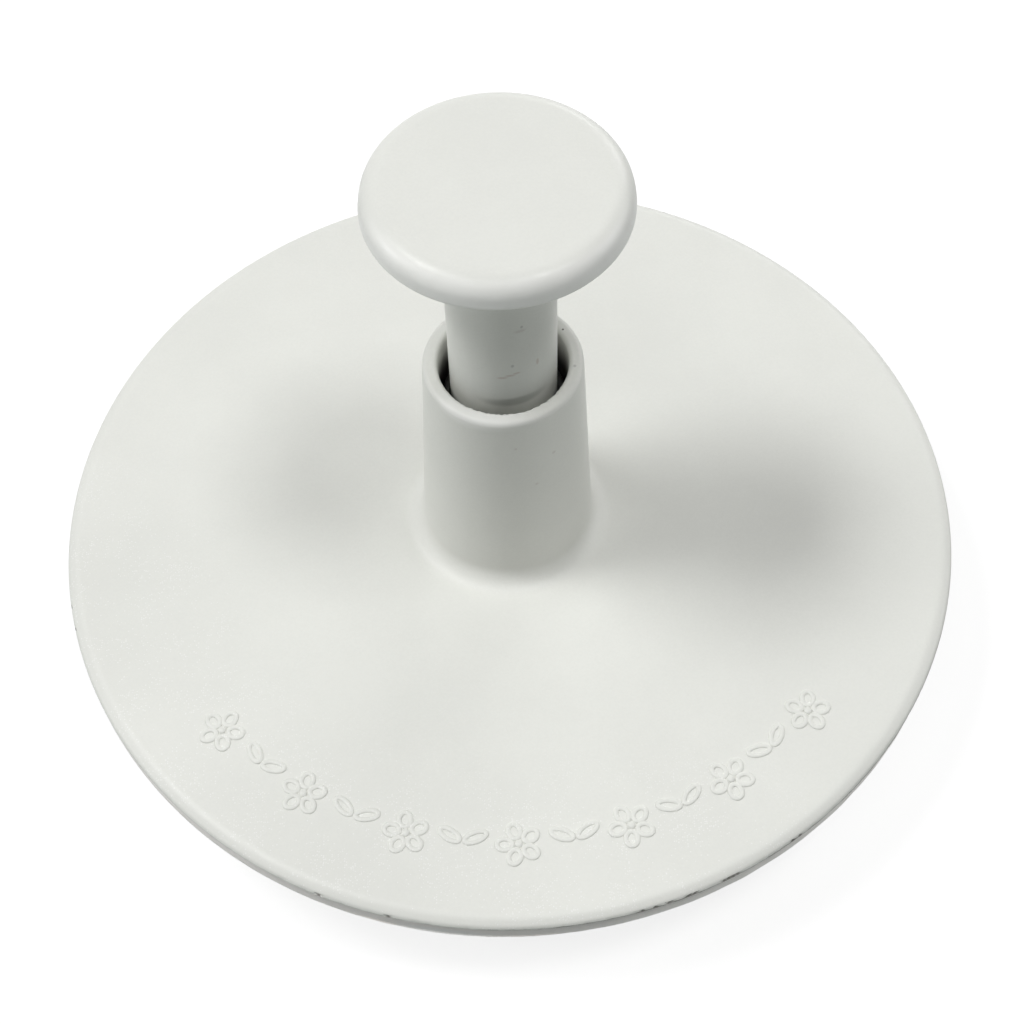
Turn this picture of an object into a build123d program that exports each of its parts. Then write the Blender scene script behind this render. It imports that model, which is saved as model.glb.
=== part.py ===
"""Plunger cutter: a flanged body with a flower-shaped blade, a sprung plunger and an embosser.

Millimetres, +Z up along the plunger's axis, z = 0 on the plane of the cutting edge.
Every piece is drawn where it stands at rest, with the embosser drawn up inside the blade.
"""
from build123d import *
from math import cos, pi, sin, sqrt
import os

# Flange disc
disc_d = 110.0
disc_t = 3.6
disc_top_round = 1.35
disc_bottom_round = 0.3

# Collar, which tapers from the disc to its rim
collar_h = 30.0
collar_wall = 1.7
collar_flare = 1.35
collar_fillet = 2.5
collar_rim_round = 1.0
collar_mouth_round = 0.35

# Blade, a flower whose inner face gives the cut shape
flower_d = 98.0
petal_count = 8
petal_round_share = 0.96
valley_round = 1.3
blade_depth = 13.4
blade_wall = 1.2
edge_wall = 0.4
bevel_h = 2.5

# Plunger: head, stem and foot
head_d = 28.5
head_t = 3.2
head_top_round = 1.6
head_bottom_round = 1.0
neck_fillet = 0.8
stem_d = 12.2
stem_wall = 2.1
stem_show = 25.2
stem_engage = 9.0
foot_h = 3.0
foot_chamfer = 0.5
socket_depth = 14.0

# Embosser: plate, hub and post
plate_t = 2.4
plate_edge_round = 0.4
hub_h = 0.5
hub_margin = 3.0
post_chamfer = 0.6

# Embosser's underside: three veins to a petal, and the heart with its seeds
vein_h = 0.6
vein_w = 1.2
vein_tip_gap = 3.0
vein_root_gap = 3.0
side_vein_share = 0.62
side_vein_degrees = 9.0
heart_d = 20.0
heart_ring_w = 1.2
seed_d = 2.0
seed_count = 9
seed_ring_share = 0.55

# Spring
wire_d = 0.9
spring_turns = 8
end_coil_gap = 0.5

# Clearances
bore_play = 1.3
foot_play = 0.3
post_play = 0.1
socket_fit = 0.02
spring_play = 0.85
spring_seat_gap = 0.05
blade_play = 0.5

# Heights that follow
disc_z = blade_depth
ledge_z = disc_z + disc_t
collar_top_z = ledge_z + collar_h
foot_z = collar_top_z - stem_engage
socket_z = foot_z + socket_depth
head_z = collar_top_z + stem_show
plate_top_z = disc_z - hub_h
plate_z = plate_top_z - plate_t
stroke = plate_z - vein_h

# Radii that follow
disc_r = disc_d / 2
head_r = head_d / 2
heart_r = heart_d / 2
stem_r = stem_d / 2
socket_r = stem_r - stem_wall
post_r = socket_r - socket_fit
guide_r = post_r + post_play
bore_r = stem_r + bore_play
foot_r = bore_r - foot_play
collar_top_r = bore_r + collar_wall
collar_base_r = collar_top_r + collar_flare
spring_r = post_r + spring_play + wire_d / 2

# Flower: convex petal arcs joined by hollow valley arcs, each tangent to the next
flower_r = flower_d / 2
half_pitch = pi / petal_count
petal_r = petal_round_share * flower_r * sin(half_pitch) / (1 + sin(half_pitch))
petal_centre_r = flower_r - petal_r
valley_r = valley_round + blade_wall
valley_centre_r = petal_centre_r * cos(half_pitch) + sqrt(
    (petal_r + valley_r) ** 2 - (petal_centre_r * sin(half_pitch)) ** 2
)


def polar(radius, angle):
    """A point in the plane, from its radius and its angle in radians."""
    return Vector(radius * cos(angle), radius * sin(angle))


def petal_joint(petal, side, grow):
    """The point where a petal's arc passes into the valley on one side of it."""
    centre = polar(petal_centre_r, 2 * half_pitch * petal)
    valley = polar(valley_centre_r, half_pitch * (2 * petal + side))
    return centre + (valley - centre).normalized() * (petal_r + grow)


def flower_outline(grow):
    """Draws the flower, grown outwards by grow, in the open line builder."""
    for petal in range(petal_count):
        tip = polar(flower_r + grow, 2 * half_pitch * petal)
        bottom = polar(valley_centre_r - valley_r + grow, half_pitch * (2 * petal + 1))
        right_joint = petal_joint(petal, 1, grow)
        ThreePointArc(petal_joint(petal, -1, grow), tip, right_joint)
        ThreePointArc(right_joint, bottom, petal_joint(petal + 1, -1, grow))


def rings(piece, radius):
    """The piece's circular edges of one radius, lowest first."""
    circles = piece.edges().filter_by(GeomType.CIRCLE)
    return circles.filter_by(lambda edge: round(edge.radius - radius, 4) == 0).sort_by(Axis.Z)


# Cutter body: disc, collar and blade in one moulding
with BuildPart() as cutter_body:
    with BuildSketch(Plane.XZ):
        with BuildLine():
            Polyline(
                (guide_r, disc_z),
                (disc_r, disc_z),
                (disc_r, ledge_z),
                (collar_base_r, ledge_z),
                (collar_top_r, collar_top_z),
                (bore_r, collar_top_z),
                (bore_r, ledge_z),
                (guide_r, ledge_z),
                close=True,
            )
        make_face()
    revolve(axis=Axis.Z)
    fillet(rings(cutter_body, collar_base_r), collar_fillet)
    fillet(rings(cutter_body, collar_top_r), collar_rim_round)
    fillet(rings(cutter_body, bore_r).last, collar_mouth_round)
    fillet(rings(cutter_body, disc_r).last, disc_top_round)
    fillet(rings(cutter_body, disc_r).first, disc_bottom_round)
    # The blade's straight upper part, then the bevel that thins it to the cutting edge
    with BuildSketch(Plane.XY.offset(bevel_h)):
        with BuildLine():
            flower_outline(blade_wall)
        make_face()
    extrude(amount=disc_z - bevel_h)
    with BuildSketch(Plane.XY):
        with BuildLine():
            flower_outline(edge_wall)
        make_face()
    with BuildSketch(Plane.XY.offset(bevel_h)):
        with BuildLine():
            flower_outline(blade_wall)
        make_face()
    loft(ruled=True)
    # The space that the paste and the embosser fill
    with BuildSketch(Plane.XY):
        with BuildLine():
            flower_outline(0)
        make_face()
    extrude(amount=disc_z, mode=Mode.SUBTRACT)
cutter_body.part.label = "cutter_body"

# Plunger: mushroom head, stem and foot, with the socket for the embosser's post
with BuildPart() as plunger:
    with BuildSketch(Plane.XZ):
        with BuildLine():
            Polyline(
                (0, socket_z),
                (socket_r, socket_z),
                (socket_r, foot_z),
                (foot_r, foot_z),
                (foot_r, foot_z + foot_h),
                (stem_r, foot_z + foot_h),
                (stem_r, head_z),
                (head_r, head_z),
                (head_r, head_z + head_t),
                (0, head_z + head_t),
                close=True,
            )
        make_face()
    revolve(axis=Axis.Z)
    fillet(rings(plunger, head_r).last, head_top_round)
    fillet(rings(plunger, head_r).first, head_bottom_round)
    fillet(rings(plunger, stem_r).last, neck_fillet)
    chamfer(rings(plunger, foot_r), foot_chamfer)
plunger.part.label = "plunger"

# Embosser: plate, hub and post, then the veins and the heart of the flower under it
vein_start_r = heart_r + vein_root_gap
vein_length = flower_r - blade_play - vein_tip_gap - vein_start_r
side_vein_length = vein_length * side_vein_share
with BuildPart() as embosser:
    with BuildSketch(Plane.XY.offset(plate_z)):
        with BuildLine():
            flower_outline(-blade_play)
        make_face()
    extrude(amount=plate_t)
    fillet(embosser.edges().group_by(Axis.Z)[0], plate_edge_round)
    with BuildSketch(Plane.XY.offset(plate_top_z)):
        Circle(post_r + hub_margin)
    extrude(amount=hub_h)
    with BuildSketch(Plane.XY.offset(disc_z)):
        Circle(post_r)
    extrude(amount=socket_z - disc_z)
    chamfer(rings(embosser, post_r).last, post_chamfer)
    with BuildSketch(Plane.XY.offset(plate_z)):
        with PolarLocations(vein_start_r + vein_length / 2, petal_count):
            SlotOverall(vein_length, vein_w)
        for turn in (-side_vein_degrees, side_vein_degrees):
            with PolarLocations(vein_start_r + vein_length / 2, petal_count, start_angle=turn):
                SlotOverall(side_vein_length, vein_w)
        Circle(heart_r)
        Circle(heart_r - heart_ring_w, mode=Mode.SUBTRACT)
        with PolarLocations(heart_r * seed_ring_share, seed_count):
            Circle(seed_d / 2)
        Circle(seed_d / 2)
    extrude(amount=-vein_h)
embosser.part.label = "embosser"

# Spring: one wire, with a close coil at each end and an even rise between them
open_quarters = 4 * (spring_turns - 2)
spring_z = ledge_z + spring_seat_gap + wire_d / 2
spring_rise = foot_z - spring_seat_gap - wire_d / 2 - spring_z
close_rise = (wire_d + end_coil_gap) / 4
open_rise = (spring_rise - 8 * close_rise) / open_quarters
rises = [close_rise] * 4 + [open_rise] * open_quarters + [close_rise] * 4


def coil_places():
    """Points on the wire's centre line, a quarter turn apart, each with its direction."""
    places = []
    height = spring_z
    for step in range(len(rises) + 1):
        angle = step * pi / 2
        below = rises[max(step - 1, 0)]
        above = rises[min(step, len(rises) - 1)]
        slope = (below + above) / (spring_r * pi)
        way = Vector(-sin(angle), cos(angle), slope).normalized()
        places.append((polar(spring_r, angle) + Vector(0, 0, height), way))
        height += above
    return places


def biarc_middle(start, start_way, end, end_way):
    """The point where two arcs meet that leave and arrive along the given directions."""
    chord = end - start
    spread = 2 * (1 - start_way.dot(end_way))
    along = chord.dot(start_way + end_way)
    reach = (sqrt(along**2 + spread * chord.dot(chord)) - along) / spread
    return (start + start_way * reach + end - end_way * reach) / 2


with BuildPart() as spring:
    places = coil_places()
    with BuildLine() as wire_path:
        for (start, start_way), (end, end_way) in zip(places, places[1:]):
            middle = biarc_middle(start, start_way, end, end_way)
            first_arc = TangentArc(start, middle, tangent=start_way)
            TangentArc(middle, end, tangent=first_arc % 1)
    centre_line = wire_path.wires()[0]
    with BuildSketch(Plane(origin=places[0][0], z_dir=places[0][1])):
        Circle(wire_d / 2)
    sweep(path=centre_line)
spring.part.label = "spring"


def least_gap(points_per_turn=24):
    """The smallest gap from the wire to itself, on points at least three quarters of a turn apart."""
    last = points_per_turn * spring_turns
    points = [centre_line @ (step / last) for step in range(last + 1)]
    apart = points_per_turn * 3 // 4
    lengths = [(b - a).length for i, a in enumerate(points) for b in points[i + apart :]]
    return min(lengths) - wire_d


print("stroke", round(stroke, 3), "spring from", ledge_z, "to", foot_z)
print("spring's least gap to itself", round(least_gap(), 3))
wire_volume = pi * (wire_d / 2) ** 2 * centre_line.length
print("spring volume", round(spring.part.volume, 2), "section times length", round(wire_volume, 2))

os.makedirs("parts", exist_ok=True)
for piece in (cutter_body, plunger, embosser, spring):
    export_step(piece.part, f"parts/{piece.part.label}.step")
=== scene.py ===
# %% [markdown]
# # A plunger cutter in white plastic
#
# A plunger cutter cuts a flower from rolled sugar paste, presses veins into it and pushes it out. The
# real one has four pieces: a body that is disc, collar and blade in one moulding, a plunger with a
# round head, a spring inside the collar, and an embosser that carries the veins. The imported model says
# where each one is and how it moves. This script gives each piece its finer shape and its finish.

# %% The frame
from math import atan2, ceil, cos, degrees, pi, radians, sin, sqrt, tan

import bmesh
import bpy
from mathutils import Matrix, Vector, noise


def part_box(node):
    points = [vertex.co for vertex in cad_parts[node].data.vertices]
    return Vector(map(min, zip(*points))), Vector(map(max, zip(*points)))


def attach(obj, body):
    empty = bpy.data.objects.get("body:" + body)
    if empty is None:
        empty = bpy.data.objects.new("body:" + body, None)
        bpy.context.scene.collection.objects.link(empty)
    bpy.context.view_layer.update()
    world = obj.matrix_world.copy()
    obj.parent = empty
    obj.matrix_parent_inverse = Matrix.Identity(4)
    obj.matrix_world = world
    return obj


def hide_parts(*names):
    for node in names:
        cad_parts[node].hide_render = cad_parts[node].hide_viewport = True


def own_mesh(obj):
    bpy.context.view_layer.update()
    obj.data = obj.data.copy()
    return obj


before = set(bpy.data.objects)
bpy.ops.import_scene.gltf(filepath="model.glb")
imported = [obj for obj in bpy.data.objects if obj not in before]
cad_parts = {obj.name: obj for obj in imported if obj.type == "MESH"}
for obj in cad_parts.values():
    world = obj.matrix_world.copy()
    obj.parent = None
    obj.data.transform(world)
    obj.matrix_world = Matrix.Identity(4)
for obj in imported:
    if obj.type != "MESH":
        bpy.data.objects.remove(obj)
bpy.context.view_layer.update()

MM = 0.001

# %% [markdown]
# ## Sizes
#
# The lengths are the model's own, in millimetres, and the rest is worked out from them. Height zero is
# the plane of the cutting edge, and the plunger's axis is the Z axis. The box of each node of the model
# is printed.

# %% Sizes of the pieces
disc_r = 55.0
disc_z = 13.4
disc_t = 3.6
collar_top_z = 47.0
collar_wall = 1.7
collar_flare = 1.35
bore_r = 7.4
guide_r = 4.08
flower_r = 49.0
petals = 8
petal_share = 0.96
blade_wall = 1.2
edge_wall = 0.4
bevel_h = 2.5
valley_round = 1.3
head_r = 14.25
head_t = 3.2
head_z = 72.2
stem_r = 6.1
foot_r = 7.1
foot_h = 3.0
foot_z = 38.0
socket_r = 4.0
socket_z = 52.0
post_r = 3.98
plate_z = 10.5
plate_t = 2.4
hub_margin = 3.0
blade_play = 0.5
vein_h = 0.6
wire_d = 0.9
coil_r = 5.28
coil_turns = 8

disc_top_z = disc_z + disc_t
collar_top_r = bore_r + collar_wall
collar_base_r = collar_top_r + collar_flare
head_top_z = head_z + head_t
for node in sorted(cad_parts):
    low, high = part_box(node)
    reach, bottom, top = (round(value / MM, 2) for value in (high[0], low[2], high[2]))
    print(node, "radius", reach, "from", bottom, "to", top)

# %% [markdown]
# ## Node trees as formulas
#
# Both the finishes and the repeated shapes are node trees. Wiring them one by one hides what they say,
# so one small class holds a socket and takes part in sums: wire * 2 + 1 adds the two Math nodes. Every
# other node comes from one method, which sets the node's settings first and its sockets after that.


# %% A socket that can stand in a formula
class Wire:
    """The output of a node, ready to be used in a sum or linked to another node."""

    def __init__(self, graph, socket):
        self.graph = graph
        self.socket = socket

    def out(self, name):
        """Another output of the same node."""
        return Wire(self.graph, self.socket.node.outputs[name])

    def __add__(self, other):
        return self.graph.maths("ADD", self, other)

    def __radd__(self, other):
        return self.graph.maths("ADD", other, self)

    def __sub__(self, other):
        return self.graph.maths("SUBTRACT", self, other)

    def __rsub__(self, other):
        return self.graph.maths("SUBTRACT", other, self)

    def __mul__(self, other):
        return self.graph.maths("MULTIPLY", self, other)

    def __rmul__(self, other):
        return self.graph.maths("MULTIPLY", other, self)

    def __truediv__(self, other):
        return self.graph.maths("DIVIDE", self, other)

    def __rtruediv__(self, other):
        return self.graph.maths("DIVIDE", other, self)


# %% A node tree
class Graph:
    """A node tree, and the one method through which its nodes are made."""

    def __init__(self, tree):
        self.tree = tree

    def node(self, kind, settings=None, sockets=None, out=0):
        made = self.tree.nodes.new(kind)
        for name, value in (settings or {}).items():
            setattr(made, name, value)
        for name, value in (sockets or {}).items():
            if isinstance(value, Wire):
                self.tree.links.new(value.socket, made.inputs[name])
            else:
                made.inputs[name].default_value = value
        return Wire(self, made.outputs[out]) if made.outputs else None

    def maths(self, operation, *values):
        return self.node("ShaderNodeMath", {"operation": operation}, dict(enumerate(values)))

    def vector(self, operation, *values, out=0):
        settings = {"operation": operation}
        return self.node("ShaderNodeVectorMath", settings, dict(enumerate(values)), out)

    def length(self, vector):
        return self.vector("LENGTH", vector, out="Value")

    def split(self, vector):
        """The node whose outputs are the X, Y and Z of a vector."""
        return self.node("ShaderNodeSeparateXYZ", sockets={0: vector})

    def xyz(self, x, y, z):
        return self.node("ShaderNodeCombineXYZ", sockets={0: x, 1: y, 2: z})

    def ramp(self, value, start, end, low=0.0, high=1.0):
        """Low up to start, high from end on, and a smooth rise between them."""
        sockets = {"Value": value, "From Min": start, "From Max": end, "To Min": low, "To Max": high}
        return self.node("ShaderNodeMapRange", {"interpolation_type": "SMOOTHSTEP"}, sockets)

    def fade(self, value, start, end):
        """1 up to start, 0 from end on, and a smooth fall between them."""
        return self.ramp(value, start, end, 1.0, 0.0)

    def tint(self, mask, under, colour):
        """The colour where mask is 1, and what is under it where mask is 0."""
        sockets = {0: mask, 6: under, 7: colour}
        return self.node("ShaderNodeMix", {"data_type": "RGBA"}, sockets, 2)

    def mottle(self, place, scale, detail=3.0):
        """A cloudy pattern from 0 to 1, with about scale grains to one unit of place."""
        sockets = {"Vector": place, "Scale": scale, "Detail": detail}
        return self.node("ShaderNodeTexNoise", sockets=sockets)

    def bump(self, height, depth, strength):
        """The normals of a surface that a height from 0 to 1 roughens to a depth in millimetres."""
        sockets = {"Height": height, "Distance": depth * MM, "Strength": strength}
        return self.node("ShaderNodeBump", sockets=sockets)

    def surface(self, sockets):
        """Ends a material with the one surface shader that has these sockets."""
        skin = self.node("ShaderNodeBsdfPrincipled", sockets=sockets)
        self.node("ShaderNodeOutputMaterial", sockets={0: skin})


def empty_material(name):
    """A new material with nothing in it, and the graph of its node tree."""
    material = bpy.data.materials.new(name)
    material.use_nodes = True
    material.node_tree.nodes.clear()
    return material, Graph(material.node_tree)


# %% [markdown]
# ## Camera
#
# The photograph looks down on the cutter at a little over fifty degrees, from near enough for the head
# to look large against the disc. One camera was fitted to the outlines of the disc, collar, stem and
# head, and its numbers are used as they came out: direction, distance, a small roll and the lens.

# %% The camera
camera_elevation = radians(56.04)
camera_roll = radians(-1.90)
camera_distance = 243.4
camera_target = Vector((0.45, 1.63, 14.0))
nearest_seen = 10.0
focal_pixels = 1919.0
frame_pixels = 1024.0
sensor_width = 36.0

backwards = Vector((0, -cos(camera_elevation), sin(camera_elevation)))
level_right = Vector((1, 0, 0))
level_up = backwards.cross(level_right)
camera_right = level_right * cos(camera_roll) + level_up * sin(camera_roll)
camera_up = level_up * cos(camera_roll) - level_right * sin(camera_roll)
camera_place = (camera_target + backwards * camera_distance) * MM
camera_axes = Matrix((camera_right, camera_up, backwards)).transposed().to_4x4()
camera_data = bpy.data.cameras.new("camera")
camera_data.sensor_width = sensor_width
camera_data.lens = focal_pixels / frame_pixels * sensor_width
camera_data.clip_start = nearest_seen * MM
camera = bpy.data.objects.new("camera", camera_data)
camera.matrix_world = Matrix.Translation(camera_place) @ camera_axes
bpy.context.scene.collection.objects.link(camera)
bpy.context.scene.camera = camera
print("lens", round(camera_data.lens, 2), "mm, at", [round(v / MM, 1) for v in camera_place])

# %% [markdown]
# ## Light
#
# The head throws two soft shadows on the disc: a deep one to the right and a faint one to the left.
# Drawn back through the head they give the places of two lamps, and the width of their soft edges gives
# the lamps' size: the left one is a wide panel, brightest in its middle, so it is two lamps, one in
# front of the other. Faces that look at the camera are grey, and the sides of the collar and the stem
# are light, so the rest of the light comes in low from the left, the right and behind, and none of it
# from the front. All lamps stand two metres off, which lights the head and the disc alike.

# %% Lamps
bpy.context.scene.view_settings.view_transform = "Standard"
lamp_aim = Vector((0, 0, disc_top_z)) * MM
lamp_distance = 2.0


def lamp(name, azimuth, elevation, width, height, watts):
    """An oval white lamp that looks at the middle of the disc.

    Azimuth is in degrees round from +X, elevation in degrees up, width and height in metres.
    """
    data = bpy.data.lights.new(name, "AREA")
    data.shape = "ELLIPSE"
    data.size = width
    data.size_y = height
    data.energy = watts
    made = bpy.data.objects.new(name, data)
    level = cos(radians(elevation))
    across = level * cos(radians(azimuth))
    into = level * sin(radians(azimuth))
    way = Vector((across, into, sin(radians(elevation))))
    turned_back = way.to_track_quat("Z", "Y").to_matrix().to_4x4()
    made.matrix_world = Matrix.Translation(lamp_aim + way * lamp_distance) @ turned_back
    bpy.context.scene.collection.objects.link(made)


lamp("left_panel_middle", 174, 62.5, 0.60, 0.45, 10.4)
lamp("left_panel", 172, 61, 1.15, 0.55, 6.8)
lamp("right_lamp", -20, 71, 0.50, 0.50, 10.45)
lamp("overhead", 250, 70, 1.00, 0.80, 5.3)
lamp("low_left", 180, 22, 0.80, 0.60, 7.3)
lamp("low_right", 10, 22, 0.90, 0.60, 4.2)
lamp("low_behind", 65, 22, 1.40, 0.60, 8.8)

# %% [markdown]
# ## Background and floor
#
# The background is plain white. The world shows white to the camera and to reflections and gives only
# a weak light to everything else, so that white never washes out the plastic. The floor has two
# shaders for the same reason: a plain matt one that bounces light up at the cutter, and for the camera
# one that also glows, so that it reads as white and still keeps the soft shadow.


# %% World and floor
def seen_directly(graph):
    """1 for rays that come from the camera, straight or by way of a reflection or a clear piece."""
    rays = graph.node("ShaderNodeLightPath")
    seen = graph.maths("MAXIMUM", rays.out("Is Camera Ray"), rays.out("Is Glossy Ray"))
    return graph.maths("MAXIMUM", seen, rays.out("Is Transmission Ray"))


def either(graph, mask, first, second):
    """The second shader where mask is 1, and the first where mask is 0."""
    return graph.node("ShaderNodeMixShader", sockets={0: mask, 1: first, 2: second})


white = (1.0, 1.0, 1.0, 1.0)
sky_light = 0.01
floor_bounce = (0.43, 0.465, 0.455, 1.0)
floor_shown = (0.3, 0.3, 0.3, 1.0)
floor_glow = 0.81
floor_reach = 3.0

world = bpy.data.worlds.new("studio")
bpy.context.scene.world = world
world.use_nodes = True
world.node_tree.nodes.clear()
sky = Graph(world.node_tree)
dim_sky = sky.node("ShaderNodeBackground", sockets={0: white, 1: sky_light})
white_sky = sky.node("ShaderNodeBackground", sockets={0: white, 1: 1.0})
sky.node("ShaderNodeOutputWorld", sockets={0: either(sky, seen_directly(sky), dim_sky, white_sky)})

floor_material, ground = empty_material("pale_floor")
matt = ground.node("ShaderNodeBsdfDiffuse", sockets={0: floor_bounce})
faint = ground.node("ShaderNodeBsdfDiffuse", sockets={0: floor_shown})
glow = ground.node("ShaderNodeEmission", sockets={0: white, 1: floor_glow})
lit_white = ground.node("ShaderNodeAddShader", sockets={0: faint, 1: glow})
floor_shader = either(ground, seen_directly(ground), matt, lit_white)
ground.node("ShaderNodeOutputMaterial", sockets={0: floor_shader})

floor_mesh = bpy.data.meshes.new("floor")
signs = ((-1, -1), (1, -1), (1, 1), (-1, 1))
floor_corners = [(x * floor_reach, y * floor_reach, 0.0) for x, y in signs]
floor_mesh.from_pydata(floor_corners, [], [(0, 1, 2, 3)])
floor_mesh.materials.append(floor_material)
floor = bpy.data.objects.new("floor", floor_mesh)
bpy.context.scene.collection.objects.link(floor)

# %% [markdown]
# ## White plastic
#
# All three mouldings are the same satin white plastic, a little warm. Up close it isn't one colour: the
# mould was spark-eroded, which leaves a fine pebbled skin, and near the front edge of the disc some of
# its facets catch the light as tiny bright points. So the finish is a colour with slight clouds, a bump
# of two grains, a roughness that wanders, and painted glints: bright points painted into the colour,
# picked from the cells of a Voronoi pattern. Object coordinates in millimetres make each grain a real
# size.

# %% The plastic finish
warm_white = (0.800, 0.808, 0.765)
darker, lighter = 0.975, 1.02
smoother, rougher = -0.05, 0.06
pebble_scale = 3.2
ripple_scale = 0.55
cloud_scale = 0.07
cloud_share = 0.6
pebble_share = 0.7
skin_depth = 0.03
skin_strength = 0.5
point_scale = 4.2
point_core, point_edge = 0.20, 0.45
# The bright points are painted glints: the colour of a highlight, painted into the plastic
painted_glint_colour = (1.0, 1.0, 0.99, 1.0)
point_shine = 0.15
crowd_scale = 0.18
crowd_from, crowd_full = 0.38, 0.66
fewest_points, most_points = 0.02, 0.42
front_from, front_full = -12.0, -34.0
front_slant = 0.6
outer_from, outer_full = 32.0, 43.0
inner_points = 0.15


def from_axis(graph, place):
    """How far a place is from the Z axis."""
    return graph.length(graph.vector("MULTIPLY", place, (1.0, 1.0, 0.0)))


def painted_glint_points(graph, place):
    """The mask of the painted glints, bright points painted in as highlights: cells picked by chance,
    most of them near the front edge.
    """
    cells = graph.node("ShaderNodeTexVoronoi", sockets={"Vector": place, "Scale": point_scale})
    chance = graph.node("ShaderNodeSeparateColor", sockets={0: cells.out("Color")})
    clouds = graph.mottle(place, crowd_scale)
    crowd = graph.ramp(clouds, crowd_from, crowd_full, fewest_points, most_points)
    picked = graph.maths("LESS_THAN", chance, crowd)
    middle = graph.fade(cells, point_core, point_edge)
    along = graph.split(place)
    front = graph.ramp(along.out("Y") + along.out("X") * front_slant, front_from, front_full)
    outer = graph.ramp(from_axis(graph, place), outer_from, outer_full, inner_points, 1.0)
    return picked * middle * front * outer


def plastic(name, colour, roughness, glint_paint=0.0, marks=()):
    """Satin moulded plastic with painted glints, and marks that are each a mask and a colour.

    A mask is made by a function of the graph and of the place on the piece, in millimetres.
    """
    material, graph = empty_material(name)
    on_piece = graph.node("ShaderNodeTexCoord").out("Object")
    place = graph.vector("MULTIPLY", on_piece, (1 / MM,) * 3)
    pebble = graph.mottle(place, pebble_scale)
    ripple = graph.mottle(place, ripple_scale, 2.0)
    cloud = graph.mottle(place, cloud_scale)

    dark = tuple(darker * value for value in colour) + (1.0,)
    light = tuple(min(1.0, lighter * value) for value in colour) + (1.0,)
    clouds = cloud * cloud_share + pebble * (1 - cloud_share)
    shade = graph.tint(graph.ramp(clouds, 0.3, 0.7), dark, light)
    rough = graph.ramp(ripple, 0.25, 0.75, roughness + smoother, roughness + rougher)
    # The bright points are painted glints, highlights painted into the base colour
    if glint_paint:
        points = painted_glint_points(graph, place) * glint_paint
        shade = graph.tint(points, shade, painted_glint_colour)
        rough = rough - points * point_shine
    for mask, mark_colour in marks:
        shade = graph.tint(mask(graph, place), shade, mark_colour + (1.0,))
    grain = pebble * pebble_share + ripple * (1 - pebble_share)
    skin = graph.bump(grain, skin_depth, skin_strength)
    graph.surface({"Base Color": shade, "Roughness": rough, "Normal": skin, "IOR": 1.49})
    return material


print("plastic", warm_white, "grain", round(1 / pebble_scale, 2), "mm")

# %% [markdown]
# ## Marks of use and moulding, painted light and painted shade
#
# The photographed cutter has been used: a faint brown scratch and a few specks on the front of the
# stem, and black nicks along the mould's parting line. Some marks are painted light and shade: a band of
# painted shade on the stem just above the collar's rim, painted light on the front of the collar's rim,
# painted highlights on the front of the bore's mouth and on the thread of flash, painted shade deep in
# the bore, and grime with painted shade under the lip of the parting line. The front of the head's edge
# and the band under the parting line are painted lighter, as painted light. Most marks are a soft
# ellipsoid in space, which marks the surface that passes through it and nothing else. The painted shade
# in the bore, the grime and shade of the seam and the painted light on the edges follow the height and
# the distance from the axis instead.

# %% Kinds of marks
spot_core = 0.35
# How far past the bore's wall the painted shade in the bore reaches, and how dark it gets at most
bore_shade_core, bore_shade_reach = 0.1, 0.25
deepest_bore_shade = 0.94
seam_core, seam_soft = 0.10, 0.26
seam_inner, seam_outer = disc_r - 1.0, disc_r - 0.7
right_from, right_full, left_share = -30.0, 12.0, 0.20
seam_front_from, seam_front_full, back_share = 0.0, -30.0, 0.15
seam_patch_scale, seam_least = 0.6, 0.40
# The patches and the reach of the painted light on edges
edge_light_patch_scale, edge_light_least = 0.5, 0.8
edge_light_in, edge_light_up, edge_light_down = 0.4, 0.3, 0.5


def spot(centre, size):
    """The mask of one spot: 1 in the core of an ellipsoid, and fading to 0 at its surface."""

    def mask(graph, place):
        offset = graph.vector("DIVIDE", graph.vector("SUBTRACT", place, centre), size)
        return graph.fade(graph.length(offset), spot_core, 1.0)

    return mask


def painted_bore_shade_mask(unshaded_z, dark_z):
    """The mask of the painted shade inside the bore, which deepens from one height down to another."""

    def mask(graph, place):
        inside = graph.fade(from_axis(graph, place), bore_r + bore_shade_core, bore_r + bore_shade_reach)
        height = graph.split(place).out("Z")
        return inside * graph.ramp(height, dark_z, unshaded_z, deepest_bore_shade, 0.0)

    return mask


def seam_grime_and_shade(graph, place):
    """The mask of the grime and painted shade under the lip of the parting line, patchy and thickest at
    the front right.
    """
    along = graph.split(place)
    off_line = graph.maths("ABSOLUTE", along.out("Z") - seam_z)
    line = graph.fade(off_line, seam_core, seam_soft)
    edge = graph.ramp(from_axis(graph, place), seam_inner, seam_outer)
    right = graph.ramp(along.out("X"), right_from, right_full, left_share, 1.0)
    front = graph.ramp(along.out("Y"), seam_front_from, seam_front_full, back_share, 1.0)
    patches = graph.ramp(graph.mottle(place, seam_patch_scale), 0.35, 0.60, seam_least, 1.0)
    return line * edge * right * front * patches


def painted_edge_light(radius, low_z, high_z, none_y, full_y):
    """The mask of painted light on an edge: a soft band beyond a radius, between two heights.

    It grows from nothing at none_y to its full strength at full_y.
    """

    def mask(graph, place):
        along = graph.split(place)
        outside = graph.ramp(from_axis(graph, place), radius - edge_light_in, radius)
        rise = graph.ramp(along.out("Z"), low_z, low_z + edge_light_up)
        fall = graph.fade(along.out("Z"), high_z - edge_light_down, high_z)
        front = graph.ramp(along.out("Y"), none_y, full_y)
        patches = graph.ramp(graph.mottle(place, edge_light_patch_scale), 0.3, 0.6, edge_light_least, 1.0)
        return outside * (rise * fall) * front * patches

    return mask


# %% Where the marks are
rust = (0.67, 0.63, 0.58)
soot = (0.10, 0.095, 0.085)
speck = (0.59, 0.595, 0.565)
smear = (0.71, 0.70, 0.66)
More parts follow.
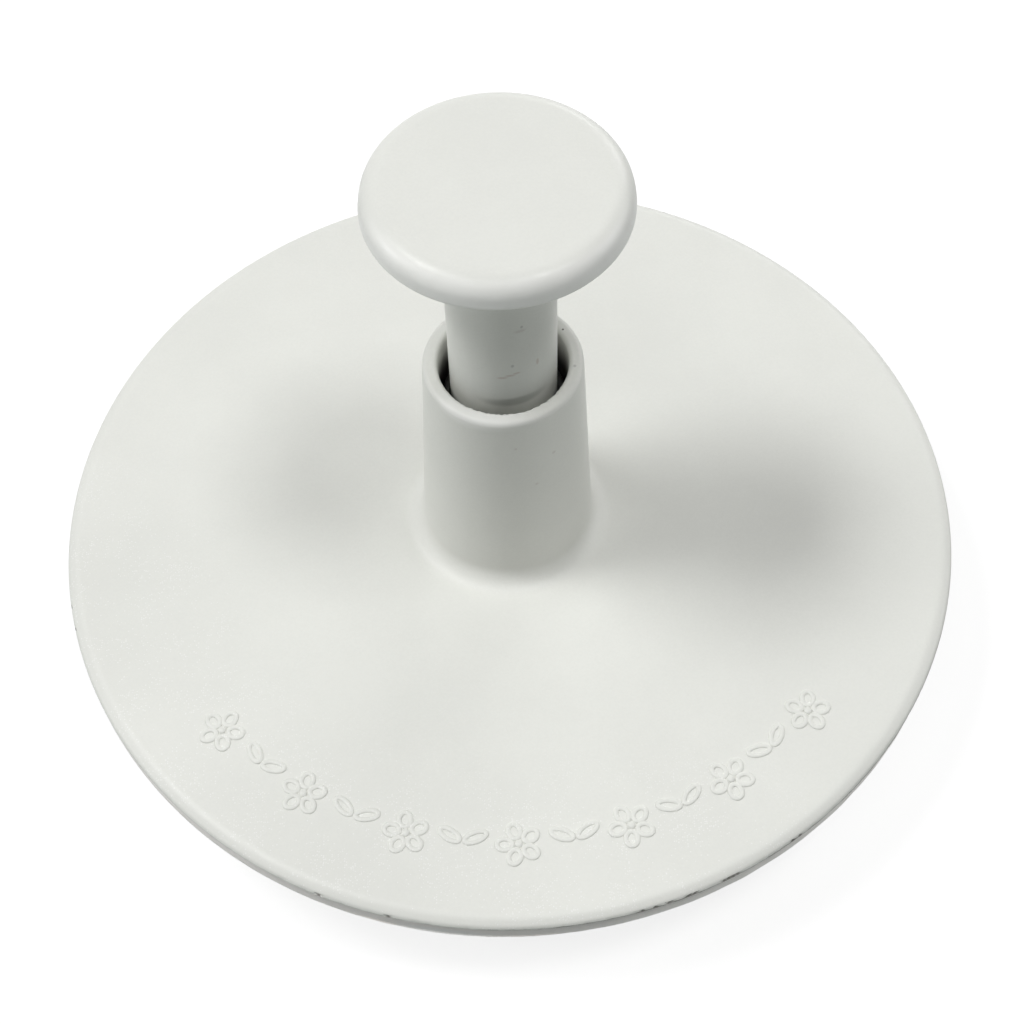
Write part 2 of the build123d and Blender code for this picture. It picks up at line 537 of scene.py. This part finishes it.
# Painted shade on the stem just above the collar's rim, where the rim shades it
stem_band_shade = (0.58, 0.595, 0.56)
# Painted shade deep in the bore
painted_bore_shade = (0.06, 0.06, 0.055)
# Grime and painted shade under the lip of the parting line
line_grime_and_shade = (0.20, 0.20, 0.18)
# Painted light on the front of the collar's rim
painted_rim_light = (0.91, 0.915, 0.88)
# Painted highlights on the front of the bore's mouth and along the thread of flash
painted_highlight = (0.95, 0.95, 0.93)
# Painted light on the front of the head's edge
painted_head_light = (0.93, 0.935, 0.90)
# Painted light on the band under the parting line
painted_band_light = (0.96, 0.93, 0.895)
part_z = disc_top_z - 1.0
seam_z = part_z - 0.04
nick_size = (0.40, 0.40, 0.26)
nick_degrees = [-167.8, -164.4, -114.1, -105.5, -75.9, -74.3, -72.6, -70.2]
nick_degrees += [-69.4, -65.6, -65.0, -64.4, -63.8, -55.9, -54.8]


def on_stem(x, height):
    """The point on the front of the stem that is x to the right of its middle."""
    return (x, -sqrt(stem_r**2 - x**2), height)


def on_rim(angle):
    """The point of the parting line in a direction given in degrees."""
    return (disc_r * cos(radians(angle)), disc_r * sin(radians(angle)), part_z)


def spots(table):
    """The marks in a table whose rows are a centre, a half size and a colour."""
    return [(spot(centre, size), colour) for centre, size, colour in table]


stem_spots = [
    # A band of painted shade where the collar's rim shades the stem
    (on_stem(1.4, 47.1), (5.0, 3.4, 0.95), stem_band_shade),
    (on_stem(-0.1, 51.50), (0.8, 0.7, 0.24), rust),
    (on_stem(0.75, 51.80), (0.8, 0.7, 0.24), rust),
    (on_stem(1.45, 52.05), (0.6, 0.7, 0.20), rust),
    (on_stem(1.02, 53.40), (0.26, 0.5, 0.34), speck),
    (on_stem(1.95, 59.00), (1.0, 0.6, 0.35), smear),
    (on_stem(2.10, 59.60), (0.22, 0.5, 0.30), speck),
    (on_stem(3.75, 52.60), (0.22, 0.5, 0.70), rust),
]
stem_marks = [
    # Painted shade on the part of the plunger that is inside the bore
    (painted_bore_shade_mask(44.5, 41.5), painted_bore_shade),
    # Painted light on the front of the head's edge
    (painted_edge_light(head_r - 1.5, head_z, head_z + 3.15, -1.0, -9.0), painted_head_light),
]
stem_marks += spots(stem_spots)

nick_spots = [(on_rim(angle), nick_size, soot) for angle in nick_degrees]
collar_spots = [
    # The first two are painted light on the rim's front and a painted highlight on the bore's mouth
    ((-3.2, -7.6, collar_top_z), (8.0, 4.5, 1.8), painted_rim_light),
    ((0.9, -7.45, collar_top_z), (1.3, 0.35, 0.35), painted_highlight),
    ((6.9, 4.1, collar_top_z), (0.17, 0.17, 0.4), soot),
    ((8.0, -1.2, collar_top_z), (0.26, 0.26, 0.4), speck),
    ((1.1, -9.3, 42.6), (0.24, 0.5, 0.26), smear),
    ((5.4, -7.7, 39.7), (0.30, 0.5, 0.34), smear),
    ((3.4, -9.0, 35.4), (0.28, 0.5, 0.28), smear),
]
# A painted highlight along the thread of flash on the lower band
flash_highlight_spot = ((-9.0, -54.1, disc_z + 0.5), (9.0, 2.2, 1.1), painted_highlight)
body_marks = [
    # Painted shade on the wall of the bore
    (painted_bore_shade_mask(45.8, 41.5), painted_bore_shade),
    # Painted light on the band under the parting line
    (painted_edge_light(disc_r - 0.5, disc_z - 0.3, part_z + 0.1, 20.0, 0.0), painted_band_light),
    # Grime and painted shade under the lip of the parting line
    (seam_grime_and_shade, line_grime_and_shade),
]
body_marks += spots(nick_spots + collar_spots + [flash_highlight_spot])
print(len(stem_marks), "marks on the plunger,", len(body_marks), "on the body")

# %% The three plastics
body_plastic = plastic("body_plastic", warm_white, 0.46, 0.5, body_marks)
plunger_plastic = plastic("plunger_plastic", warm_white, 0.38, 0.0, stem_marks)
embosser_plastic = plastic("embosser_plastic", warm_white, 0.36)
print("body, plunger and embosser differ in roughness and marks")

# %% [markdown]
# ## Turned shapes
#
# Disc, collar, head and stem are all round, so each is an outline of radius and height, turned about
# the axis. The outline is a list of corners with a rounding each. A helper puts an arc at each corner,
# and a support point close to each end of a long straight run, which keeps the light on a flat face
# from bending towards its rounded edge.

# %% Outlines with rounded corners
arc_step = radians(9)
fewest_steps = 3
support = 0.12


def arc_at(before, here, after, rounding):
    """The points of the arc that rounds the corner here, between its neighbours."""
    back = (before - here).normalized()
    ahead = (after - here).normalized()
    half = back.angle(ahead) / 2
    middle = here + (back + ahead).normalized() * rounding / sin(half)
    start = here + back * rounding / tan(half) - middle
    end = here + ahead * rounding / tan(half) - middle
    sweep = atan2(start.cross(end), start.dot(end))
    first = atan2(start.y, start.x)
    steps = max(fewest_steps, ceil(abs(sweep) / arc_step))
    angles = [first + sweep * step / steps for step in range(steps + 1)]
    return [middle + Vector((cos(a), sin(a))) * rounding for a in angles]


def rounded(corners, closed):
    """The outline of corners given as (radius, height, rounding), with arcs and support points."""
    places = [Vector(corner[:2]) for corner in corners]
    points = []
    for index, (_, _, rounding) in enumerate(corners):
        here = places[index]
        if rounding:
            after = places[(index + 1) % len(places)]
            points += arc_at(places[index - 1], here, after, rounding)
        else:
            points.append(here)
    outline = []
    last = len(points) if closed else len(points) - 1
    for index in range(last):
        a = points[index]
        b = points[(index + 1) % len(points)]
        outline.append(a)
        if (b - a).length > 4 * support:
            inwards = (b - a).normalized() * support
            outline += [a + inwards, b - inwards]
    return outline if closed else outline + [points[-1]]


# %% [markdown]
# The turning itself joins each ring of points to the next. A point on the axis becomes a pole. An
# optional rule may move each point by where it is round the axis, for what isn't quite round.

# %% Turning an outline
sharp_angle = radians(32)


def mesh_object(name, points, faces, material):
    """A smooth-shaded object from points in millimetres, with its faces turned outwards."""
    mesh = bpy.data.meshes.new(name)
    mesh.from_pydata([Vector(p) * MM for p in points], [], faces)
    shape = bmesh.new()
    shape.from_mesh(mesh)
    if shape.calc_volume(signed=True) < 0:
        bmesh.ops.reverse_faces(shape, faces=shape.faces)
    shape.to_mesh(mesh)
    shape.free()
    mesh.shade_smooth()
    mesh.set_sharp_from_angle(angle=sharp_angle)
    mesh.materials.append(material)
    made = bpy.data.objects.new(name, mesh)
    bpy.context.scene.collection.objects.link(made)
    print(name, len(mesh.polygons), "faces")
    return made


def ring_faces(first, second):
    """Faces between two rings of point numbers, either of which may be a single pole."""
    count = max(len(first), len(second))
    faces = []
    for i in range(count):
        j = (i + 1) % count
        if len(first) == 1:
            faces.append((first[0], second[i], second[j]))
        elif len(second) == 1:
            faces.append((first[i], second[0], first[j]))
        else:
            faces.append((first[i], second[i], second[j], first[j]))
    return faces


def turned(name, outline, around, closed, material, rule=None):
    """An outline turned about the Z axis in around steps. A closed one joins its end to its start."""
    points = []
    rings = []
    for radius, height in outline:
        ring = []
        for step in range(around if radius > 0 else 1):
            angle = 2 * pi * step / around
            r, z = rule(angle, radius, height) if rule else (radius, height)
            ring.append(len(points))
            points.append((r * cos(angle), r * sin(angle), z))
        rings.append(ring)
    pairs = list(zip(rings, rings[1:])) + ([(rings[-1], rings[0])] if closed else [])
    faces = [face for first, second in pairs for face in ring_faces(first, second)]
    return mesh_object(name, points, faces, material)


# %% [markdown]
# ## Disc and collar
#
# The flange disc and the tapered collar are one turned outline. What gives the moulding away is its
# rim: the two halves of the mould meet where the rounding of the top ends, and they don't quite match.
# The lower half sits a tenth of a millimetre off to the back, so at the front the upper half stands
# proud over a thin groove, darkened by grime and painted shade, with a few nicks in its lip, and on
# the left a thread of flash runs along the lower band, which leans outwards to its foot so that the
# mould could let it go. The mouth of the bore is ragged at the front in the same way. A rule moves
# those points and leaves the rest alone.

# %% Sizes of the worn rim
lip_r = disc_r - 0.05
lower_r = disc_r - 0.17
rim_depth = 0.83
band_lean = 0.32
groove_h = 0.2
groove_depth = 0.22
groove_r = lower_r - band_lean - groove_depth
groove_filled = 0.8
groove_rough = 0.06
mismatch = 0.10
mismatch_way = radians(125)
mismatch_rough = 0.3
flash_z = disc_z + 0.5
flash_out = 0.12
flash_rough = 0.3
lip_h = 0.35
lip_rough = 0.05
nick_depth = 0.18
nick_half_width, nick_fade = 0.15, 0.3
mouth_round = 0.55
mouth_rough = 0.07
hair = 0.001
disc_steps = 920
# Each part of the way round is where it starts and ends and how far it fades, in degrees
front_part = (-118, -52, 40)
flash_part = (-108, -88, 5)
mouth_part = (-130, -35, 30)
print("groove", round(disc_r - groove_r, 2), "mm deep under the lip")


# %% Disc and collar
def window(angle, start, end, fade):
    """1 between two directions given in degrees, falling to 0 over the fade beyond them."""
    middle = (start + end) / 2
    away = abs((degrees(angle) - middle + 180) % 360 - 180) - (end - start) / 2
    return min(1.0, max(0.0, 1 - away / fade))


def wander(angle, pace, seed):
    """A value from about -1 to 1 that changes smoothly round the disc, pace times a turn."""
    return noise.noise(Vector((cos(angle) * pace, sin(angle) * pace, seed))) * 1.6


def worn_rim(angle, radius, height):
    """Moves the points of the parting line and of the bore's mouth."""
    front = window(angle, *front_part)
    if lower_r - rim_depth < radius < lower_r + 0.01 and height < part_z - hair:
        if radius < groove_r + groove_depth / 2 and height > disc_z + 1:
            radius += groove_depth * (1 - front) * groove_filled + groove_rough * wander(angle, 60, 8.2)
        unevenness = 1 + mismatch_rough * wander(angle, 25, 3.1)
        radius += mismatch * cos(angle - mismatch_way) * unevenness
        if abs(height - flash_z) < 0.02:
            unevenness = 1 + flash_rough * wander(angle, 50, 5.5)
            radius += flash_out * window(angle, *flash_part) * unevenness
    if radius > disc_r - 1 and part_z - hair <= height < part_z + lip_h:
        nicks = [(a - nick_half_width, a + nick_half_width, nick_fade) for a in nick_degrees]
        nick = max(window(angle, *place) for place in nicks)
        radius -= nick_depth * nick + front * max(0.0, lip_rough * wander(angle, 90, 4.4))
    if abs(radius - bore_r) < mouth_round + 0.01 and height > collar_top_z - mouth_round - 0.05:
        radius += mouth_rough * wander(angle, 22, 1.7) * window(angle, *mouth_part)
    return radius, height


body_corners = [
    # The lower half of the mould, with the thread of flash on its band
    (guide_r, disc_z, 0.0),
    (lower_r, disc_z, 0.3),
    (lower_r - 0.01, flash_z - 0.1, 0.0),
    (lower_r - 0.02, flash_z, 0.0),
    (lower_r - 0.03, flash_z + 0.1, 0.0),
    (lower_r - band_lean, part_z - groove_h - 0.04, 0.0),
    # The groove and the lip over it
    (lower_r - band_lean - 0.02, part_z - groove_h, 0.0),
    (groove_r, part_z - groove_h / 2, 0.0),
    (groove_r, part_z - 0.01, 0.0),
    (lip_r - 0.03, part_z - 0.01, 0.0),
    (lip_r, part_z + 0.02, 0.0),
    # The top of the disc, whose edge is a slope between two roundings
    (lip_r - 0.10, disc_top_z - 0.58, 0.8),
    (lip_r - 1.15, disc_top_z, 2.0),
    # The collar, outside and inside
    (collar_base_r, disc_top_z, 2.5),
    (collar_top_r, collar_top_z, 0.65),
    (bore_r, collar_top_z, mouth_round),
    (bore_r, disc_top_z, 0.3),
    (guide_r, disc_top_z, 0.25),
]
body_outline = rounded(body_corners, True)
body = turned("disc_and_collar", body_outline, disc_steps, True, body_plastic, worn_rim)
print(len(body_outline) * disc_steps * 2, "triangles, of the 200,000 that one piece may have")

# %% [markdown]
# ## Flower outline
#
# Blade and embosser follow one flower: eight petal arcs joined by hollow valley arcs, each tangent to
# the next. To grow or shrink it, the petal arcs gain what the valley arcs lose, about the same centres,
# so every offset has the same number of points and rings of it join without a twist.

# %% Points round the flower
half_pitch = pi / petals
petal_r = petal_share * flower_r * sin(half_pitch) / (1 + sin(half_pitch))
petal_centre_r = flower_r - petal_r
valley_r = valley_round + blade_wall
valley_centre_r = petal_centre_r * cos(half_pitch) + sqrt(
    (petal_r + valley_r) ** 2 - (petal_centre_r * sin(half_pitch)) ** 2
)
petal_steps = 44
valley_steps = 16
flower_steps = petals * (petal_steps + valley_steps)


def polar(radius, angle):
    return Vector((radius * cos(angle), radius * sin(angle)))


def flower(grow):
    """The points of the flower, grown outwards by grow."""
    across = polar(valley_centre_r, half_pitch) - polar(petal_centre_r, 0)
    spread = atan2(across.y, across.x)
    hollow = spread - half_pitch
    points = []
    for petal in range(petals):
        middle = 2 * half_pitch * petal
        centre = polar(petal_centre_r, middle)
        for step in range(petal_steps):
            turn = middle - spread + 2 * spread * step / petal_steps
            points.append(centre + polar(petal_r + grow, turn))
        valley = polar(valley_centre_r, middle + half_pitch)
        for step in range(valley_steps):
            turn = middle + half_pitch + pi + hollow - 2 * hollow * step / valley_steps
            points.append(valley + polar(valley_r - grow, turn))
    return points


def flower_wall(name, section, closed, material):
    """Joins rings of the flower, each given as (grow, height). Open ends get a flat face."""
    points = []
    rings = []
    for grow, height in section:
        rings.append(range(len(points), len(points) + flower_steps))
        points += [(p.x, p.y, height) for p in flower(grow)]
    faces = [face for a, b in zip(rings, rings[1:]) for face in ring_faces(a, b)]
    if closed:
        faces += ring_faces(rings[-1], rings[0])
    else:
        faces += [tuple(rings[0]), tuple(reversed(rings[-1]))]
    return mesh_object(name, points, faces, material)


print("petal radius", round(petal_r, 2), "valley reach", round(valley_centre_r - valley_r, 2))

# %% [markdown]
# ## Blade
#
# Under the disc stands the wall that cuts: thick at its root, where a small fillet carries it into the
# disc, and bevelled on the outside down to a thin flat edge. It could be extruded from a curve, but the
# bevel and the fillets change the outline's offset with height, so the wall is a section of offsets and
# heights carried round the flower.

# %% Blade
blade_sink = 0.4
blade_root = 0.7
root_fillet = blade_root - 0.02
edge_round = 0.06
blade_corners = [
    (-blade_root, disc_z + blade_sink, 0.0),
    (-blade_root, disc_z, 0.0),
    (0.0, disc_z, root_fillet),
    (0.0, 0.0, edge_round),
    (edge_wall, 0.0, edge_round),
    (blade_wall, bevel_h, 0.6),
    (blade_wall, disc_z, root_fillet),
    (blade_wall + blade_root, disc_z, 0.0),
    (blade_wall + blade_root, disc_z + blade_sink, 0.0),
]
blade = flower_wall("blade", rounded(blade_corners, True), True, body_plastic)

# %% [markdown]
# ## Plunger
#
# The plunger is turned too: a flat head with a generously rounded edge, a side that leans out a little
# to its foot, a fillet under it, the stem, and a foot that runs in the bore, with the socket that takes
# the embosser's post.

# %% Plunger
head_round = 2.2
plunger_steps = 256
plunger_corners = [
    (0.0, head_top_z, 0.0),
    (head_r - 0.50, head_top_z, head_round),
    (head_r - 0.05, head_z, 0.45),
    (stem_r, head_z, 0.8),
    (stem_r, foot_z + foot_h, 0.3),
    (foot_r, foot_z + foot_h, 0.4),
    (foot_r, foot_z, 0.5),
    (socket_r, foot_z, 0.2),
    (socket_r, socket_z, 0.0),
    (0.0, socket_z, 0.0),
]
plunger_outline = rounded(plunger_corners, False)
plunger = turned(
    "plunger_head_and_stem", plunger_outline, plunger_steps, False, plunger_plastic
)

# %% [markdown]
# ## Embosser
#
# The plate is the flower again, half a millimetre smaller than the blade all round, with soft edges.
# Its hub rests under the disc and its post goes up through the disc into the stem. Hub and post are
# turned, and they start a little inside the plate so that no gap shows.

# %% Embosser plate and post
plate_top_z = plate_z + plate_t
plate_inset = 2.0
plate_corners = [
    (-blade_play - plate_inset, plate_z, 0.0),
    (-blade_play, plate_z, 0.4),
    (-blade_play, plate_top_z, 0.25),
    (-blade_play - plate_inset, plate_top_z, 0.0),
]
plate = flower_wall("embosser_plate", rounded(plate_corners, False), False, embosser_plastic)
hub_r = post_r + hub_margin
hub_sink = 0.3
post_steps = 128
post_corners = [
    (0.0, plate_top_z - hub_sink, 0.0),
    (hub_r, plate_top_z - hub_sink, 0.0),
    (hub_r, disc_z, 0.15),
    (post_r, disc_z, 0.2),
    (post_r, socket_z, 0.6),
    (0.0, socket_z, 0.0),
]
post_outline = rounded(post_corners, False)
post = turned("embosser_post", post_outline, post_steps, False, embosser_plastic)

# %% [markdown]
# ## Shapes that repeat
#
# Veins, seeds, the garland on the disc and the spring follow rules, so Geometry Nodes make them. A tree
# has named inputs for its sizes. A bare object carries it as a modifier, and the evaluated result is
# copied to a plain mesh, because what is exported has to be faces and not instructions.


# %% Running a geometry tree
class ShapeTree(Graph):
    """A Geometry Nodes tree with named inputs, and the way to turn it into a mesh."""

    def __init__(self, name, sizes):
        super().__init__(bpy.data.node_groups.new(name, "GeometryNodeTree"))
        self.name = name
        self.sizes = sizes
        sockets = self.tree.interface
        sockets.new_socket("Geometry", in_out="OUTPUT", socket_type="NodeSocketGeometry")
        for label, value in sizes.items():
            kind = "NodeSocketInt" if isinstance(value, int) else "NodeSocketFloat"
            sockets.new_socket(label, in_out="INPUT", socket_type=kind)
        self.given = self.node("NodeGroupInput")

    def size(self, label):
        return self.given.out(label)

    def joined(self, *shapes):
        join = self.tree.nodes.new("GeometryNodeJoinGeometry")
        for shape in shapes:
            self.tree.links.new(shape.socket, join.inputs[0])
        return Wire(self, join.outputs[0])

    def moved(self, shape, shift=(0, 0, 0), turn=(0, 0, 0), scale=(1, 1, 1)):
        sockets = {"Geometry": shape, "Translation": shift, "Rotation": turn, "Scale": scale}
        return self.node("GeometryNodeTransform", sockets=sockets)

    def circle(self, radius, steps):
        sockets = {"Resolution": steps, "Radius": radius}
        return self.node("GeometryNodeCurvePrimitiveCircle", sockets=sockets)

    def ball(self, radius, segments):
        sockets = {"Segments": segments, "Rings": segments // 2, "Radius": radius}
        return self.node("GeometryNodeMeshUVSphere", sockets=sockets)

    def round_copies(self, shape, count, first=0.0):
        """Copies of a shape, evenly spaced about the Z axis."""
        points = self.node("GeometryNodePoints", sockets={"Count": count})
        index = self.node("GeometryNodeInputIndex")
        turn = self.xyz(0.0, 0.0, index * (2 * pi) / count + first)
        sockets = {"Points": points, "Instance": shape, "Rotation": turn}
        return self.node("GeometryNodeInstanceOnPoints", sockets=sockets)

    def on_circle(self, angle, radius, height):
        """The place at an angle round the Z axis."""
        across = self.maths("COSINE", angle) * radius
        into = self.maths("SINE", angle) * radius
        return self.xyz(across, into, height)

    def tube(self, curve, radius, sides, swell=None):
        """A tube along a curve, thinned or thickened along it by swell."""
        if swell:
            sockets = {"Curve": curve, "Radius": swell}
            curve = self.node("GeometryNodeSetCurveRadius", sockets=sockets)
        sockets = {"Curve": curve, "Profile Curve": self.circle(radius, sides), "Fill Caps": True}
        if swell:
            sockets["Scale"] = self.node("GeometryNodeInputRadius")
        return self.node("GeometryNodeCurveToMesh", sockets=sockets)

    def made(self, shape, material):
        """Finishes the tree, runs it and gives back a plain mesh object."""
        shape = self.node("GeometryNodeRealizeInstances", sockets={0: shape})
        shape = self.node("GeometryNodeSetShadeSmooth", sockets={0: shape})
        sockets = {"Geometry": shape, "Material": material}
        shape = self.node("GeometryNodeSetMaterial", sockets=sockets)
        self.node("NodeGroupOutput", sockets={0: shape})
        blank_mesh = bpy.data.meshes.new(self.name + "_tree")
        blank = bpy.data.objects.new(self.name + "_tree", blank_mesh)
        bpy.context.scene.collection.objects.link(blank)
        modifier = blank.modifiers.new("shape", "NODES")
        modifier.node_group = self.tree
        for socket in self.tree.interface.items_tree:
            if socket.in_out == "INPUT":
                modifier[socket.identifier] = self.sizes[socket.name]
        whole = blank.evaluated_get(bpy.context.evaluated_depsgraph_get())
        mesh = bpy.data.meshes.new_from_object(whole)
        bpy.data.objects.remove(blank)
        mesh.name = self.name
        result = bpy.data.objects.new(self.name, mesh)
        bpy.context.scene.collection.objects.link(result)
        print(self.name, len(mesh.polygons), "faces")
        return result


# %% [markdown]
# ## Veins and seeds
#
# Three veins run along each petal under the plate, and a ring with small seeds marks the heart of the
# flower. They are what presses the pattern into the paste. One vein is a line with a tube round it that
# thins towards both ends, flattened to the vein's height, and the rest are copies about the axis.

# %% Veins
vein_steps = 40
vein_sides = 16
tip_width = 0.02
taper_power = 0.45
side_share = 0.62
side_turn = radians(9)
veins = ShapeTree(
    "embosser_veins",
    {
        "Petals": petals,
        "Root": 13.0 * MM,
        "Length": 32.5 * MM,
        "Width": 1.2 * MM,
        "Height": vein_h * MM,
        "Under": plate_z * MM,
    },
)


def vein(tree, share, turn):
    """One vein from the root outwards, shorter by the share and turned about the axis."""
    middle = tree.size("Root") + tree.size("Length") / 2
    half = tree.size("Length") * (share / 2)
    ends = {"Start": tree.xyz(middle - half, 0.0, 0.0), "End": tree.xyz(middle + half, 0.0, 0.0)}
    line = tree.node("GeometryNodeCurvePrimitiveLine", sockets=ends)
    line = tree.node("GeometryNodeResampleCurve", sockets={"Curve": line, "Count": vein_steps})
    along = tree.node("GeometryNodeSplineParameter")
    arch = tree.maths("SINE", along * pi) + tip_width
    swell = tree.maths("POWER", arch, taper_power)
    ridge = tree.tube(line, tree.size("Width") / 2, vein_sides, swell)
    flat = tree.xyz(1.0, 1.0, tree.size("Height") * 2 / tree.size("Width"))
    return tree.moved(ridge, turn=(0, 0, turn), scale=flat)


one_petal = veins.joined(
    vein(veins, 1.0, 0.0),
    vein(veins, side_share, side_turn),
    vein(veins, side_share, -side_turn),
)
all_petals = veins.round_copies(one_petal, veins.size("Petals"))

# %% The heart with its seeds
heart_r = 10.0
ring_w = 1.2
seed_r = 1.0
seed_count = 9
seed_share = 0.55
seed_segments = 24
ring_steps = 96
ring_curve = veins.circle((heart_r - ring_w / 2) * MM, ring_steps)
heart_ring = veins.tube(ring_curve, ring_w / 2 * MM, vein_sides)
seed = veins.ball(seed_r * MM, seed_segments)
off_centre = (seed_share * heart_r * MM, 0, 0)
seed_row = veins.round_copies(veins.moved(seed, shift=off_centre), seed_count)
heart = veins.joined(heart_ring, seed_row, seed)
flat_heart = veins.moved(heart, scale=(1, 1, vein_h / seed_r))
under_plate = veins.xyz(0.0, 0.0, veins.size("Under"))
pressed = veins.moved(veins.joined(all_petals, flat_heart), shift=under_plate)
embosser_veins = veins.made(pressed, embosser_plastic)

# %% [markdown]
# ## Garland on the disc
#
# Near the front edge of the disc the moulding has low raised work, which shows only by the thin light
# and shadow along its edges. Here it is a garland of small open blossoms with a pair of leaves between
# them: loops of wire-thin tube pressed flat, set along an arc and turned to face the centre.

# %% Blossoms and leaves
garland = ShapeTree(
    "disc_garland",
    {
        "Motifs": 13,
        "Arc radius": 45.2 * MM,
        "Arc start": radians(-139),
        "Arc length": radians(98),
        "Stroke": 0.62 * MM,
        "Relief": 0.17 * MM,
        "Surface": disc_top_z * MM,
    },
)
# Length, width and distance from the motif's middle
petal_loop = (1.75 * MM, 1.35 * MM, 0.75 * MM)
leaf_loop = (2.6 * MM, 1.15 * MM, 0.35 * MM)
leaf_turn = radians(62)
dot_r = 0.5 * MM
dot_segments = 20
blossom_petals = 5
loop_steps = 40
loop_sides = 12


def loop(tree, length, width, reach):
    """A closed oval loop that starts near the motif's middle and points along +X."""
    shift = (reach + length / 2, 0, 0)
    half_size = (length / 2, width / 2, 1)
    oval = tree.moved(tree.circle(1.0, loop_steps), shift=shift, scale=half_size)
    return tree.tube(oval, tree.size("Stroke") / 2, loop_sides)


dot = garland.ball(dot_r, dot_segments)
one_loop = loop(garland, *petal_loop)
blossom = garland.joined(garland.round_copies(one_loop, blossom_petals, pi / 2), dot)
leaf = loop(garland, *leaf_loop)
leaves = garland.joined(
    garland.moved(leaf, turn=(0, 0, leaf_turn)),
    garland.moved(leaf, turn=(0, 0, -leaf_turn)),
)

# %% Garland
places = garland.node("GeometryNodePoints", sockets={"Count": garland.size("Motifs")})
number = garland.node("GeometryNodeInputIndex")
along_arc = number / (garland.size("Motifs") - 1)
arc_angle = garland.size("Arc start") + garland.size("Arc length") * along_arc
on_arc = garland.on_circle(arc_angle, garland.size("Arc radius"), 0.0)
on_arc_sockets = {"Geometry": places, "Position": on_arc}
places = garland.node("GeometryNodeSetPosition", sockets=on_arc_sockets)
odd = garland.maths("MODULO", number, 2.0)
facing = garland.xyz(0.0, 0.0, arc_angle + pi)
rows = []
for motif, chosen in ((blossom, 1 - odd), (leaves, odd)):
    sockets = {"Points": places, "Selection": chosen, "Instance": motif, "Rotation": facing}
    rows.append(garland.node("GeometryNodeInstanceOnPoints", sockets=sockets))
pressed_flat = garland.xyz(1.0, 1.0, garland.size("Relief") * 2 / garland.size("Stroke"))
on_disc = garland.xyz(0.0, 0.0, garland.size("Surface"))
raised = garland.moved(garland.joined(*rows), shift=on_disc, scale=pressed_flat)
disc_garland = garland.made(raised, body_plastic)

# %% [markdown]
# ## Spring
#
# The spring hides in the collar between the ledge and the plunger's foot. Its steel was drawn through a
# die, so its streaks run along the wire: they follow a value stored on the wire, and not the place in
# space. The wire is one line bent into a coil by formula: a close turn at each end, even ones between.

# %% Drawn steel
dark_steel = (0.50, 0.50, 0.49, 1.0)
light_steel = (0.68, 0.68, 0.66, 1.0)
smooth_steel, rough_steel = 0.24, 0.42
streak_depth, streak_strength = 0.02, 0.4
spring_material, steel = empty_material("spring_steel")
along_wire = steel.node("ShaderNodeAttribute", {"attribute_name": "along_wire"}, out="Vector")
drawn = steel.mottle(along_wire, 1.0, 4.0)
steel_sockets = {
    "Base Color": steel.tint(steel.ramp(drawn, 0.3, 0.7), dark_steel, light_steel),
    "Metallic": 1.0,
    "Roughness": steel.ramp(drawn, 0.25, 0.75, smooth_steel, rough_steel),
    "Normal": steel.bump(drawn, streak_depth, streak_strength),
}
steel.surface(steel_sockets)
print("steel streaked along the wire")

# %% Spring
seat_gap = 0.05
close_rise = wire_d + 0.5
steps_per_turn = 48
streaks_per_turn = 6.0
wire_sides = 16
coil = ShapeTree(
    "coil_spring",
    {
        "Turns": float(coil_turns),
        "Coil radius": coil_r * MM,
        "Wire": wire_d * MM,
        "Bottom": (disc_top_z + seat_gap + wire_d / 2) * MM,
        "Top": (foot_z - seat_gap - wire_d / 2) * MM,
        "Close rise": close_rise * MM,
    },
)
line_sockets = {
    "Curve": coil.node("GeometryNodeCurvePrimitiveLine"),
    "Count": coil_turns * steps_per_turn,
}
line = coil.node("GeometryNodeResampleCurve", sockets=line_sockets)
turns = coil.size("Turns")
turn = coil.node("GeometryNodeSplineParameter") * turns
closed_turns = coil.maths("MINIMUM", turn, 1.0) + 1.0 - coil.maths("MINIMUM", turns - turn, 1.0)
open_height = coil.size("Top") - coil.size("Bottom") - coil.size("Close rise") * 2.0
open_rise = open_height / (turns - 2.0)
closed_height = coil.size("Bottom") + coil.size("Close rise") * closed_turns
height = closed_height + open_rise * (turn - closed_turns)
wound_place = coil.on_circle(turn * (2 * pi), coil.size("Coil radius"), height)
wound_sockets = {"Geometry": line, "Position": wound_place}
wound = coil.node("GeometryNodeSetPosition", sockets=wound_sockets)
wound = coil.node(
    "GeometryNodeStoreNamedAttribute",
    {"data_type": "FLOAT_VECTOR", "domain": "POINT"},
    {"Geometry": wound, "Name": "along_wire", "Value": coil.xyz(turn * streaks_per_turn, 0.0, 0.0)},
)
wire = coil.tube(wound, coil.size("Wire") / 2, wire_sides)
coil_spring = coil.made(wire, spring_material)
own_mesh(coil_spring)

# %% [markdown]
# ## What each piece rides on
#
# Everything that belongs to the moulded body rides on the cutter and takes the place of its node, and
# so does the spring. The plunger and all of the embosser ride on the part that is pressed down.

# %% Riding and replacing
dressed = [
    (body, "cutter", "cutter_body", "body_plastic"),
    (blade, "cutter", "cutter_body", "body_plastic"),
    (disc_garland, "cutter", "cutter_body", "body_plastic"),
    (coil_spring, "cutter", "spring", "spring_steel"),
    (plunger, "press", "plunger", "plunger_plastic"),
    (plate, "press", "embosser", "embosser_plastic"),
    (post, "press", "embosser", "embosser_plastic"),
    (embosser_veins, "press", "embosser", "embosser_plastic"),
]
for piece, rides_on, node, slot in dressed:
    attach(piece, rides_on)
    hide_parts(node)
print(len(dressed), "pieces dressed")
